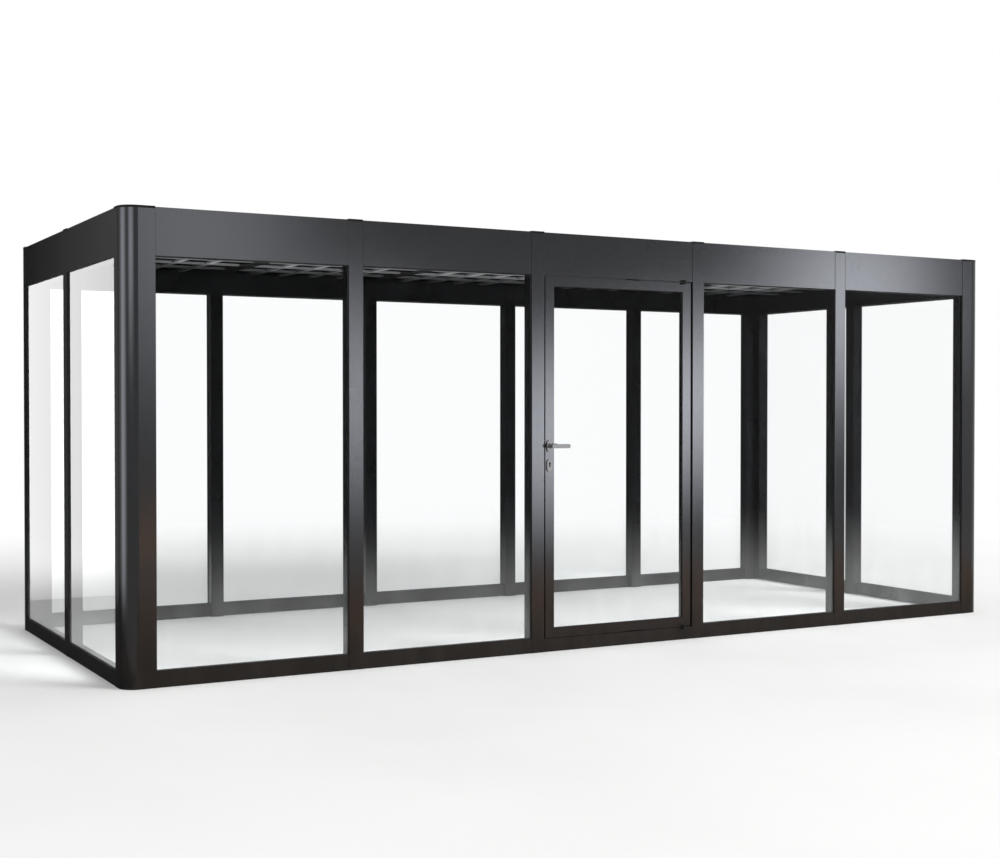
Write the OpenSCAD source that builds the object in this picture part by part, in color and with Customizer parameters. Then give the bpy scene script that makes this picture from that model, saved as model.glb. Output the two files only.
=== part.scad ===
// Flat-roofed greenhouse: extruded aluminium posts and beams, full-height glass, one pivoted glass door.
// The door side faces -Y, the length runs along X, +Z is up and the ground is z = 0.
// The origin is the bottom centre of the overall box, the door lever included.

/* [Bays] */
// Clear width of one bay in the long walls
bay_w = 1040; // [700:10:1400]
// Clear width of one bay in the short walls
side_bay_w = 1018; // [700:1:1400]
// Height from the ground to the top of the post caps
total_h = 2400; // [2100:10:2700]

/* [Posts] */
// Width of a post between two bays, seen from outside
post_w = 84; // [70:1:110]
// Depth of posts and roof beams, from the outside face to the inside face
post_d = 88; // [76:1:110]
// Width of a corner post on the long walls
corner_w = 170; // [140:1:220]
// Width of a corner post on the short walls
corner_side_w = 140; // [125:1:200]
// Radius of the rounded outside corner
corner_r = 84; // [40:1:100]
// Radius on the long edges of the posts
edge_r = 2.5; // [1:0.5:4]
// Wall thickness of the extruded posts, beams and rails
wall = 3; // [2:0.5:4]
// Thickness of the cap on top of each post
cap_t = 12; // [8:1:16]
// How far the caps stand above the fascia
cap_rise = 4; // [2:1:7]
// How far fascia, rails and door sit behind the face of the posts
face_step = 2; // [1:0.5:4]

/* [Glazing] */
// Thickness of the glass
glass_t = 6; // [4:1:8]
// Distance from the face of the posts to the outside of the glass
glass_set = 10; // [8:0.5:13]
// Thickness of the gasket on each side of the glass
gasket_t = 1; // [0.5:0.5:2]
// Depth of the glazing groove in posts, rails and the door
groove_d = 12; // [8:1:16]
// Depth of the groove in the roof beams, which lets the pane be lifted in
head_groove_d = 24; // [20:1:32]
// Room between the edge of a pane and the bottom of its groove
edge_gap = 2; // [1:0.5:4]

/* [Base] */
// Height of the base rails
base_h = 82; // [60:1:120]
// Depth of the base rails
base_d = 60; // [45:1:75]
// Height of the sill under the door
sill_h = 74; // [55:1:110]

/* [Roof] */
// Height of the fascia
fascia_h = 242; // [225:1:320]
// Thickness of the fascia's skin
skin_t = 4; // [3:0.5:6]
// Width of the lip along the top of the fascia
lip_w = 24; // [16:1:34]
// Height of the hollow beam behind the fascia, up to the ledge that carries the roof panels
beam_h = 150; // [120:1:165]
// Height of a rafter
rafter_h = 60; // [45:1:75]
// How far the rafters hang below the roof panels
rafter_drop = 18; // [14:1:30]
// Thickness of the roof panels
panel_t = 24; // [16:1:35]
// Room around a roof panel
panel_gap = 3; // [2:0.5:5]
// Width of a ceiling bar
bar_w = 34; // [20:1:45]
// Thickness of a ceiling bar
bar_t = 12; // [8:1:14]
// Spacing of the ceiling bars that run along the greenhouse
bar_pitch = 295; // [220:5:400]

/* [Door] */
// Thickness of the door leaf
leaf_t = 40; // [34:1:50]
// Gap between the leaf and the post on the lock side
lock_gap = 7; // [7:0.5:10]
// Gap between the leaf and the post on the hinge side
hinge_gap = 14; // [8:1:20]
// Gap over and under the leaf
leaf_gap = 7; // [6:0.5:10]
// Width of the door stiles
stile_w = 58; // [50:1:80]
// Height of the door's top rail
top_rail_h = 54; // [45:1:80]
// Height of the door's bottom rail
bottom_rail_h = 52; // [45:1:120]
// Wall thickness of the door's stiles and rails
leaf_wall = 2.5; // [2:0.5:3]

/* [Hinges] */
// Distance of the hinge axis from the hinge edge of the leaf
hinge_inset = 56; // [40:1:80]
// Distance of the hinge axis in front of the leaf
hinge_out = 17; // [14:0.5:24]
// Diameter of a hinge knuckle
knuckle_d = 22; // [16:1:26]
// Height of a hinge knuckle
knuckle_h = 10; // [9:1:20]
// Diameter of the hinge pins
hinge_pin_d = 10; // [8:1:12]
// Play between the two knuckles of a hinge
knuckle_play = 0.3; // [0.2:0.1:0.5]
// Running clearance around pins and spindle, on the radius
pin_clear = 0.05; // [0.02:0.01:0.1]

/* [Lever] */
// Height of the lever above the ground
lever_z = 1178; // [900:1:1300]
// Distance of the spindle from the lock edge of the leaf
lever_inset = 25; // [22:1:30]
// Length of the grip from the spindle to its tip
lever_l = 112; // [90:1:140]
// Height of the grip
lever_h = 24; // [16:1:28]
// Thickness of the grip
lever_t = 11; // [8:1:14]
// How far the grip stands out from the leaf
lever_reach = 56; // [45:1:70]
// Rounding on the edges of the grip and the roses
soft_edge = 2; // [1:0.5:3]
// Diameter of the lever's neck
neck_d = 16; // [12:1:18]
// Diameter of the spindle
spindle_d = 12; // [8:1:12]
// Width of a rose
rose_w = 36; // [30:1:42]
// Height of a rose
rose_h = 70; // [60:1:90]
// Thickness of a rose
rose_t = 8; // [6:1:11]
// Distance from the lever down to the key rose
key_drop = 111; // [95:1:120]
// Height of the keyhole's round part above the middle of its rose
keyhole_rise = 12; // [6:1:16]
// Diameter of the round part of the keyhole
keyhole_d = 13; // [10:1:17]
// Width of the slot below the round part of the keyhole
keyslot_w = 8; // [6:1:10]
// Reach of the keyhole's slot below its centre
keyslot_h = 21; // [15:1:24]

/* [Hidden] */
$fn = 64;
overrun = 1;
front_bays = 5;
side_bays = 2;
door_bay = 3;
bar_columns = 5;

frame_l = 2 * corner_w + front_bays * bay_w + (front_bays - 1) * post_w;
frame_d = 2 * corner_side_w + side_bays * side_bay_w + (side_bays - 1) * post_w;
lever_out = lever_reach - face_step;
front_y = lever_out - (frame_d + lever_out) / 2;
back_y = front_y + frame_d;
mid_y = (front_y + back_y) / 2;

post_top = total_h - cap_t;
fascia_top = total_h - cap_rise;
fascia_z = fascia_top - fascia_h;
ledge_z = fascia_z + beam_h;
rafter_z = ledge_z - rafter_drop;

groove_w = glass_t + 2 * gasket_t;
groove_y = glass_set - gasket_t;
chamber_y = groove_y + groove_w + wall;
pane_z = base_h - groove_d;
pane_top = fascia_z + head_groove_d - groove_d - edge_gap;
pane_lap = groove_d - edge_gap;

door_x = bay_x(door_bay, front_bays, bay_w);
leaf_left = door_x - bay_w / 2 + lock_gap;
leaf_right = door_x + bay_w / 2 - hinge_gap;
leaf_z = sill_h + leaf_gap;
leaf_top = fascia_z - leaf_gap;
leaf_h = leaf_top - leaf_z;
rail_l = leaf_right - leaf_left - 2 * stile_w;
leaf_mid_x = (leaf_left + leaf_right) / 2;
hinge_x = leaf_right - hinge_inset;
spindle_x = leaf_left + lever_inset;
leaf_mid_y = face_step + leaf_t / 2;

// Centre of a bay, counted from the left, in a wall with n bays of clear width w
function bay_x(i, n, w) = (i - (n + 1) / 2) * (w + post_w);

// Centre of the post that follows a bay
function post_x(i, n, w) = (i - n / 2) * (w + post_w);

// The four walls: x runs along the wall, y goes inwards from the face of the posts
module on_front() {
    translate([0, front_y, 0]) children();
}

module on_rear() {
    translate([0, back_y, 0]) rotate(180) children();
}

module on_left() {
    translate([-frame_l / 2, mid_y, 0]) rotate(-90) children();
}

module on_right() {
    translate([frame_l / 2, mid_y, 0]) rotate(90) children();
}

// Puts its child at the middle of every bay of a wall, leaving out one bay if asked
module each_bay(n, w, skip = 0) {
    for (i = [1:n]) {
        if (i != skip) translate([bay_x(i, n, w), 0, 0]) children();
    }
}

// Extrudes a section drawn as depth and height along a wall
module along_wall(length) {
    rotate([90, 0, 90]) linear_extrude(length, center = true) children();
}

// Rectangle with rounded corners, from y = 0 inwards
module soft_rect(w, d, r) {
    translate([r - w / 2, 0]) square([w - 2 * r, d]);
    translate([-w / 2, r]) square([w, d - 2 * r]);
    for (x = [r - w / 2, w / 2 - r], y = [r, d - r]) {
        translate([x, y]) circle(r);
    }
}

// Hollow post section with a glazing groove in both sides
module post_section() {
    nose_w = post_w - 2 * (groove_d + wall);
    difference() {
        soft_rect(post_w, post_d, edge_r);
        translate([-nose_w / 2, wall]) square([nose_w, post_d - 2 * wall]);
        translate([wall - post_w / 2, chamber_y]) square([post_w - 2 * wall, post_d - wall - chamber_y]);
        for (side = [0, 1]) mirror([side, 0]) {
            translate([post_w / 2 - groove_d, groove_y]) square([groove_d + overrun, groove_w]);
        }
    }
}

// L-shaped outline of a corner post with a round outside corner, shrunk by an inset
module corner_outline(inset) {
    difference() {
        union() {
            translate([inset, inset]) square([corner_w - 2 * inset, post_d - 2 * inset]);
            translate([inset, inset]) square([post_d - 2 * inset, corner_side_w - 2 * inset]);
        }
        difference() {
            translate([-overrun, -overrun]) square(corner_r + overrun);
            translate([corner_r, corner_r]) circle(corner_r - inset);
        }
    }
}

// Both grooves of a corner post, grown by a margin
module corner_grooves(margin) {
    size = [groove_d + margin + overrun, groove_w + 2 * margin];
    translate([corner_w - groove_d - margin, groove_y - margin]) square(size);
    translate([groove_y - margin, corner_side_w - groove_d - margin]) square([size[1], size[0]]);
}

// Hollow corner post section with a groove for each wall
module corner_section() {
    difference() {
        corner_outline(0);
        difference() {
            corner_outline(wall);
            corner_grooves(wall);
        }
        corner_grooves(0);
    }
}

// Moves a corner piece to one of the four corners
module at_corner(side_x, side_y) {
    translate([side_x * frame_l / 2, mid_y + side_y * frame_d / 2, 0])
        mirror([side_x > 0 ? 1 : 0, 0, 0]) mirror([0, side_y > 0 ? 1 : 0, 0]) children();
}

// Fascia and roof beam in one section: a thin skin, a hollow beam with a glass groove, and a top lip
module fascia_section() {
    front_chamber_z = fascia_z + head_groove_d + wall;
    difference() {
        union() {
            translate([face_step, fascia_z]) square([skin_t, fascia_h]);
            translate([face_step, fascia_z]) square([post_d - face_step, beam_h]);
            translate([face_step, fascia_top - skin_t]) square([lip_w, skin_t]);
        }
        translate([chamber_y, fascia_z + wall]) square([post_d - wall - chamber_y, beam_h - 2 * wall]);
        translate([face_step + skin_t, front_chamber_z])
            square([chamber_y - wall - face_step - skin_t, ledge_z - wall - front_chamber_z]);
        translate([groove_y, fascia_z - overrun]) square([groove_w, head_groove_d + overrun]);
    }
}

// Hollow base rail section with the glass groove in its top
module base_section() {
    difference() {
        translate([face_step, 0]) square([base_d - face_step, base_h]);
        translate([chamber_y, wall]) square([base_d - wall - chamber_y, base_h - 2 * wall]);
        translate([face_step + wall, wall])
            square([chamber_y - 2 * wall - face_step, pane_z - 2 * wall]);
        translate([groove_y, pane_z]) square([groove_w, groove_d + overrun]);
    }
}

// Hollow door sill
module sill_section() {
    difference() {
        translate([face_step, 0]) square([post_d - face_step, sill_h]);
        translate([face_step + wall, wall]) square([post_d - face_step - 2 * wall, sill_h - 2 * wall]);
    }
}

// One pane, standing in the groove of its base rail
module pane(opening) {
    pane_w = opening + 2 * pane_lap;
    translate([-pane_w / 2, glass_set, pane_z]) cube([pane_w, glass_t, pane_top - pane_z]);
}

// Door stile section: x = 0 is the outer edge, the glass groove faces the other way
module stile_section() {
    difference() {
        translate([0, face_step]) square([stile_w, leaf_t]);
        translate([leaf_wall, face_step + leaf_wall])
            square([stile_w - groove_d - 3 * leaf_wall, leaf_t - 2 * leaf_wall]);
        translate([stile_w - groove_d, groove_y]) square([groove_d + overrun, groove_w]);
    }
}

// Door rail section, standing on its outer edge with the glass groove on top
module rail_section(rail_h) {
    difference() {
        translate([face_step, 0]) square([leaf_t, rail_h]);
        translate([face_step + leaf_wall, leaf_wall])
            square([leaf_t - 2 * leaf_wall, rail_h - groove_d - 3 * leaf_wall]);
        translate([groove_y, rail_h - groove_d]) square([groove_w, groove_d + overrun]);
    }
}

// Upright shape with half-round ends
module capsule(w, h) {
    translate([-w / 2, -(h - w) / 2]) square([w, h - w]);
    for (y = [-1, 1]) translate([0, y * (h - w) / 2]) circle(w / 2);
}

// Stands a flat drawing upright against the leaf: x stays, y becomes height, growing outwards from y = 0
module stand_out(depth) {
    rotate([90, 0, 0]) linear_extrude(depth) children();
}

// Puts its child on the outer face of the leaf and its mirror image on the inner face
module both_faces() {
    for (side = [0, 1]) {
        translate([0, leaf_mid_y, 0]) mirror([0, side, 0]) translate([0, -leaf_t / 2, 0]) children();
    }
}

// Upright rose with a soft front edge
module rose() {
    stand_out(rose_t - soft_edge) capsule(rose_w, rose_h);
    stand_out(rose_t) capsule(rose_w - 2 * soft_edge, rose_h - 2 * soft_edge);
}

// Grip and neck of the lever, on one face of the leaf
module lever_half() {
    body_l = lever_l + lever_h / 2;
    grip_mid = body_l / 2 - lever_h / 2;
    translate([0, -pin_clear, 0]) rotate([90, 0, 0])
        cylinder(d = neck_d, h = lever_reach - lever_t / 2 - pin_clear);
    translate([grip_mid, lever_t - soft_edge - lever_reach, 0])
        stand_out(lever_t - 2 * soft_edge) rotate(90) capsule(lever_h, body_l);
    translate([grip_mid, lever_t - lever_reach, 0])
        stand_out(lever_t) rotate(90) capsule(lever_h - 2 * soft_edge, body_l - 2 * soft_edge);
}

// Block and knuckle of a hinge half, its knuckle meeting the other one at z = 0 and reaching upwards
module hinge_half(block_z) {
    translate([-knuckle_d / 2, face_step - hinge_out, block_z])
        cube([knuckle_d, hinge_out, knuckle_h + knuckle_play / 2 - block_z]);
    translate([0, face_step - hinge_out, knuckle_play / 2]) cylinder(d = knuckle_d, h = knuckle_h);
}

// Bore through the knuckle of a hinge half
module knuckle_bore() {
    translate([0, face_step - hinge_out, -overrun])
        cylinder(r = hinge_pin_d / 2 + pin_clear, h = knuckle_h + knuckle_play + 2 * overrun);
}

// Pin that reaches down through the other knuckle
module hinge_pin() {
    translate([0, face_step - hinge_out, -knuckle_h]) cylinder(d = hinge_pin_d, h = 2 * knuckle_h);
}

// Puts its child at the upper hinge, and its mirror image at the lower one
module at_hinges(outwards) {
    translate([hinge_x, 0, leaf_top + leaf_gap / 2]) mirror([0, 0, outwards ? 0 : 1]) children();
    translate([hinge_x, 0, leaf_z - leaf_gap / 2]) mirror([0, 0, outwards ? 1 : 0]) children();
}

module corner_post(side_x, side_y) {
    color("#35383c") at_corner(side_x, side_y) linear_extrude(post_top) corner_section();
}

module post() {
    color("#3a3d41") linear_extrude(post_top) post_section();
}

module front_post(i) {
    on_front() translate([post_x(i, front_bays, bay_w), 0, 0]) post();
}

module rear_post(i) {
    on_rear() translate([-post_x(i, front_bays, bay_w), 0, 0]) post();
}

module left_post() {
    on_left() post();
}

module right_post() {
    on_right() post();
}

module base_rails(n, w, skip = 0) {
    color("#302f2d") each_bay(n, w, skip) along_wall(w) base_section();
}

module front_base_rails() {
    on_front() base_rails(front_bays, bay_w, door_bay);
}

module rear_base_rails() {
    on_rear() base_rails(front_bays, bay_w);
}

module left_base_rails() {
    on_left() base_rails(side_bays, side_bay_w);
}

module right_base_rails() {
    on_right() base_rails(side_bays, side_bay_w);
}

module door_sill() {
    color("#302f2d") on_front() translate([door_x, 0, 0]) along_wall(bay_w) sill_section();
}

module fascia(n, w) {
    color("#3c3f44") each_bay(n, w) along_wall(w) fascia_section();
}

module front_fascia() {
    on_front() fascia(front_bays, bay_w);
}

module rear_fascia() {
    on_rear() fascia(front_bays, bay_w);
}

module left_fascia() {
    on_left() fascia(side_bays, side_bay_w);
}

module right_fascia() {
    on_right() fascia(side_bays, side_bay_w);
}

module corner_caps() {
    color("#17181a") for (side_x = [-1, 1], side_y = [-1, 1]) {
        at_corner(side_x, side_y) translate([0, 0, post_top]) linear_extrude(cap_t) corner_outline(0);
    }
}

module post_cap() {
    translate([0, 0, post_top]) linear_extrude(cap_t) soft_rect(post_w, post_d, edge_r);
}

module post_caps() {
    color("#17181a") {
        for (i = [1:front_bays - 1]) {
            on_front() translate([post_x(i, front_bays, bay_w), 0, 0]) post_cap();
            on_rear() translate([post_x(i, front_bays, bay_w), 0, 0]) post_cap();
        }
        on_left() post_cap();
        on_right() post_cap();
    }
}

module panes(n, w, skip = 0) {
    color("#c9d6d6", 0.35) each_bay(n, w, skip) pane(w);
}

module front_glass() {
    on_front() panes(front_bays, bay_w, door_bay);
}

module rear_glass() {
    on_rear() panes(front_bays, bay_w);
}

module left_glass() {
    on_left() panes(side_bays, side_bay_w);
}

module right_glass() {
    on_right() panes(side_bays, side_bay_w);
}

// Hollow rafters from each front post to the rear post opposite
module rafters() {
    span = frame_d - 2 * post_d;
    color("#2b2d30") for (i = [1:front_bays - 1]) {
        translate([post_x(i, front_bays, bay_w), mid_y, rafter_z]) rotate([90, 0, 0])
            linear_extrude(span, center = true) difference() {
                soft_rect(post_w, rafter_h, edge_r);
                translate([wall - post_w / 2, wall]) square([post_w - 2 * wall, rafter_h - 2 * wall]);
            }
    }
}

// Left edge and right edge of what fills a roof bay, where the end bays reach to the given outer line
function roof_left(i, outer) = i == 1 ? outer - frame_l / 2 : bay_x(i, front_bays, bay_w) - bay_w / 2;
function roof_right(i, outer) = -roof_left(front_bays + 1 - i, outer);

// Roof panels lying on the ledges of the beams, notched round the posts in the end walls
module roof_panels() {
    skin_y = face_step + skin_t + panel_gap;
    panel_l = frame_d - 2 * skin_y;
    color("#232528") for (i = [1:front_bays]) {
        x0 = roof_left(i, skin_y) + (i == 1 ? 0 : panel_gap);
        x1 = roof_right(i, skin_y) - (i == front_bays ? 0 : panel_gap);
        translate([0, 0, ledge_z]) linear_extrude(panel_t) difference() {
            translate([x0, mid_y - panel_l / 2]) square([x1 - x0, panel_l]);
            for (side_x = [-1, 1], side_y = [-1, 1]) at_corner(side_x, side_y) {
                square([corner_w + panel_gap, post_d + panel_gap]);
                square([post_d + panel_gap, corner_side_w + panel_gap]);
            }
            for (side_x = [-1, 1]) {
                notch_w = 2 * (post_d + panel_gap);
                notch_l = post_w + 2 * panel_gap;
                translate([side_x * frame_l / 2 - notch_w / 2, mid_y - notch_l / 2])
                    square([notch_w, notch_l]);
            }
        }
    }
}

// Grid of pale bars under the panels of each roof bay
module ceiling_bars() {
    span = frame_d - 2 * post_d;
    rows = side_bays * round(span / side_bays / bar_pitch);
    row_step = span / rows;
    column_step = bay_w / bar_columns;
    color("#8d9093") translate([0, mid_y - span / 2, ledge_z - bar_t]) for (i = [1:front_bays]) {
        x0 = roof_left(i, post_d);
        x1 = roof_right(i, post_d);
        bay_left = bay_x(i, front_bays, bay_w) - bay_w / 2;
        linear_extrude(bar_t) {
            for (k = [1:bar_columns - 1]) {
                translate([bay_left + k * column_step - bar_w / 2, 0]) square([bar_w, span]);
            }
            for (k = [1:rows - 1]) {
                translate([x0, k * row_step - bar_w / 2]) square([x1 - x0, bar_w]);
            }
        }
    }
}

module door_lock_stile() {
    color("#43464a") on_front() difference() {
        translate([leaf_left, 0, leaf_z]) linear_extrude(leaf_h) stile_section();
        translate([spindle_x, face_step - overrun, lever_z]) rotate([-90, 0, 0])
            cylinder(r = spindle_d / 2 + pin_clear, h = leaf_t + 2 * overrun);
    }
}

module door_hinge_stile() {
    color("#43464a") on_front() translate([leaf_right, 0, leaf_z]) mirror([1, 0, 0])
        linear_extrude(leaf_h) stile_section();
}

module door_top_rail() {
    color("#43464a") on_front() translate([leaf_mid_x, 0, leaf_top]) mirror([0, 0, 1])
        along_wall(rail_l) rail_section(top_rail_h);
}

module door_bottom_rail() {
    color("#43464a") on_front() translate([leaf_mid_x, 0, leaf_z])
        along_wall(rail_l) rail_section(bottom_rail_h);
}

module door_glass() {
    door_pane_w = rail_l + 2 * pane_lap;
    door_pane_z = leaf_z + bottom_rail_h - groove_d;
    door_pane_top = leaf_top - top_rail_h + pane_lap;
    color("#c9d6d6", 0.35) on_front() translate([leaf_mid_x - door_pane_w / 2, glass_set, door_pane_z])
        cube([door_pane_w, glass_t, door_pane_top - door_pane_z]);
}

// The two hinge halves on the leaf, bored for the pins
module door_hinge_leaves() {
    color("#141517") on_front() at_hinges(false) difference() {
        hinge_half(leaf_gap / 2);
        knuckle_bore();
    }
}

// The two hinge halves on the fascia and the sill, with their pins
module frame_hinge_leaves() {
    color("#141517") on_front() at_hinges(true) {
        hinge_half(leaf_gap / 2);
        hinge_pin();
    }
}

module lever_roses() {
    color("#9b9ca0") on_front() translate([spindle_x, 0, lever_z]) both_faces() difference() {
        rose();
        translate([0, overrun, 0]) rotate([90, 0, 0])
            cylinder(r = neck_d / 2 + pin_clear, h = rose_t + 2 * overrun);
    }
}

module key_roses() {
    color("#9b9ca0") on_front() translate([spindle_x, 0, lever_z - key_drop]) both_faces() difference() {
        rose();
        translate([0, overrun, 0]) stand_out(rose_t + 2 * overrun) {
            translate([0, keyhole_rise]) circle(d = keyhole_d);
            translate([-keyslot_w / 2, keyhole_rise - keyslot_h]) square([keyslot_w, keyslot_h]);
        }
    }
}

// Outer and inner lever on one spindle
module lever() {
    color("#a6a7aa") on_front() translate([spindle_x, 0, lever_z]) {
        both_faces() lever_half();
        translate([0, face_step - rose_t, 0]) rotate([-90, 0, 0])
            cylinder(d = spindle_d, h = leaf_t + 2 * rose_t);
    }
}

corner_post(-1, -1);  // corner_post_front_left
corner_post(1, -1);  // corner_post_front_right
corner_post(-1, 1);  // corner_post_rear_left
corner_post(1, 1);  // corner_post_rear_right
front_post(1);  // front_post_1
front_post(2);  // front_post_2
front_post(3);  // front_post_3
front_post(4);  // front_post_4
rear_post(1);  // rear_post_1
rear_post(2);  // rear_post_2
rear_post(3);  // rear_post_3
rear_post(4);  // rear_post_4
left_post();
right_post();
front_base_rails();
rear_base_rails();
left_base_rails();
right_base_rails();
door_sill();
front_fascia();
rear_fascia();
left_fascia();
right_fascia();
corner_caps();
post_caps();
front_glass();
rear_glass();
left_glass();
right_glass();
rafters();
roof_panels();
ceiling_bars();
door_lock_stile();
door_hinge_stile();
door_top_rail();
door_bottom_rail();
door_glass();
door_hinge_leaves();
frame_hinge_leaves();
lever_roses();
key_roses();
lever();
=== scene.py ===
import math

import bmesh
import bpy
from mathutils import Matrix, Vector


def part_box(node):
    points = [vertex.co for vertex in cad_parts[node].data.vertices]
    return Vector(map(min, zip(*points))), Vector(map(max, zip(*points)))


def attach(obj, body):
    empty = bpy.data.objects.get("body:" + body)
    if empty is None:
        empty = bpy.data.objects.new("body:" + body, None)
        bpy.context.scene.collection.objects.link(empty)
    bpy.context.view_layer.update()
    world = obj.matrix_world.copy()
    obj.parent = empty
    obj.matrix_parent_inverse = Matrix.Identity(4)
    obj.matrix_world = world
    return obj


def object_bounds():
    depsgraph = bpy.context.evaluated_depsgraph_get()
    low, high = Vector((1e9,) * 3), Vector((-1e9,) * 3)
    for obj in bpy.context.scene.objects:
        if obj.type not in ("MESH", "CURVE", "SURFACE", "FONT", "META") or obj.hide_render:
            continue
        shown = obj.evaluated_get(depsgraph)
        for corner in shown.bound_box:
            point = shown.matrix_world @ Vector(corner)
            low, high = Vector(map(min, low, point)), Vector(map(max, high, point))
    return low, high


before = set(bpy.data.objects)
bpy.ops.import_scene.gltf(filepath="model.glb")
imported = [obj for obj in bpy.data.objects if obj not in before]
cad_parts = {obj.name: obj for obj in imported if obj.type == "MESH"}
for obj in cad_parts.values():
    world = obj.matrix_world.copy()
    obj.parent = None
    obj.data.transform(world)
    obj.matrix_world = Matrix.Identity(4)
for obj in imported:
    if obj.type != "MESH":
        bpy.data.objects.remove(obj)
cad_box = [list(corner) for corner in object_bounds()]

# Posts: hollow aluminium extrusions that stand on the ground, L-shaped with a round outside edge at the four
# corners and straight between the bays. They are powder coated in a satin anthracite with a faint orange
# peel. The lowest part carries a thin film of dried splashes, whose brown is also a painted warm reflection
# of the ground.
MM = 0.001
CORNER_POSTS = [f"corner_post_{end}_{side}" for end in ("front", "rear") for side in ("left", "right")]
FRONT_POSTS = [f"front_post_{i}" for i in range(1, 5)]
REAR_POSTS = [f"rear_post_{i}" for i in range(1, 5)]
SIDE_POSTS = ["left_post", "right_post"]
COAT_COLOUR = (0.0064, 0.0069, 0.0080, 1)
COAT_PALE = (0.0095, 0.0102, 0.0117, 1)
COAT_SHINE = 0.27
COAT_ROUGHNESS = (0.125, 0.16)
CLOUDS_PER_METRE, CLOUD_DETAIL = 1.7, 3.0
CLOUD_LEVELS = (0.35, 0.65)
SATIN_PER_METRE, SATIN_DETAIL = 35.0, 2.0
SATIN_LEVELS = (0.3, 0.7)
PEEL_PER_METRE, PEEL_DETAIL = 420.0, 1.5
PEEL_DEPTH, PEEL_STRENGTH = 0.4 * MM, 0.12
DIRT_AND_REFLECTION_COLOUR = (0.030, 0.023, 0.017, 1)
DIRT_AND_REFLECTION_TOP = 0.75
DIRT_AND_REFLECTION_MOST = 0.38
DIRT_ROUGHER = 0.12
SPLASHES_PER_METRE, SPLASH_DETAIL = 14.0, 6.0
SPLASH_LEVELS = (0.35, 0.7)
SPLASH_LEAST = 0.5
SPLASH_STRETCH = (1, 1, 0.35)


def finish_node(tree, kind, **settings):
    """Adds a node to a finish and sets its plain properties."""
    node = tree.nodes.new("ShaderNode" + kind)
    for name, value in settings.items():
        setattr(node, name, value)
    return node


def grain(tree, per_metre, detail, stretch=(1, 1, 1)):
    """Noise fixed to the piece, with about this many grains to a metre, drawn out along an axis if asked."""
    place = finish_node(tree, "TexCoord")
    drawn = finish_node(tree, "Mapping")
    drawn.inputs["Scale"].default_value = stretch
    noise = finish_node(tree, "TexNoise")
    noise.inputs["Scale"].default_value = per_metre
    noise.inputs["Detail"].default_value = detail
    tree.links.new(place.outputs["Object"], drawn.inputs["Vector"])
    tree.links.new(drawn.outputs["Vector"], noise.inputs["Vector"])
    return noise.outputs["Fac"]


def spread(tree, source, low, high, start=0.0, end=1.0, smooth=False):
    """Maps a field that runs from start to end onto low to high."""
    mapped = finish_node(tree, "MapRange", interpolation_type="SMOOTHSTEP" if smooth else "LINEAR")
    for name, value in zip(("From Min", "From Max", "To Min", "To Max"), (start, end, low, high)):
        mapped.inputs[name].default_value = value
    tree.links.new(source, mapped.inputs["Value"])
    return mapped.outputs["Result"]


def patches(tree, noise, levels, least=0.0, most=1.0):
    """Soft-edged patches of a noise, which go from least to most as it passes between two levels."""
    return spread(tree, noise, least, most, *levels, smooth=True)


def combined(tree, operation, *values):
    """One field worked out from fields and numbers."""
    maths = finish_node(tree, "Math", operation=operation)
    for socket, value in zip(maths.inputs, values):
        if isinstance(value, (int, float)):
            socket.default_value = value
        else:
            tree.links.new(value, socket)
    return maths.outputs["Value"]


def colour_between(tree, share, first, second):
    """Goes from the first colour to the second as the share goes from 0 to 1."""
    mix = finish_node(tree, "Mix", data_type="RGBA")
    tree.links.new(share, mix.inputs["Factor"])
    for socket, value in ((mix.inputs[6], first), (mix.inputs[7], second)):
        if isinstance(value, tuple):
            socket.default_value = value
        else:
            tree.links.new(value, socket)
    return mix.outputs[2]


def height(tree):
    """Height above the ground, fixed to the piece."""
    place = finish_node(tree, "TexCoord")
    parts = finish_node(tree, "SeparateXYZ")
    tree.links.new(place.outputs["Object"], parts.inputs["Vector"])
    return parts.outputs["Z"]


def raised(tree, shader, field, depth, strength):
    """Gives the surface the relief of a field."""
    bump = finish_node(tree, "Bump")
    bump.inputs["Distance"].default_value = depth
    bump.inputs["Strength"].default_value = strength
    tree.links.new(field, bump.inputs["Height"])
    tree.links.new(bump.outputs["Normal"], shader.inputs["Normal"])


def new_finish(name):
    """An empty finish: the material, its node tree and its main shader."""
    finish = bpy.data.materials.new(name)
    finish.use_nodes = True
    return finish, finish.node_tree, finish.node_tree.nodes["Principled BSDF"]


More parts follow.
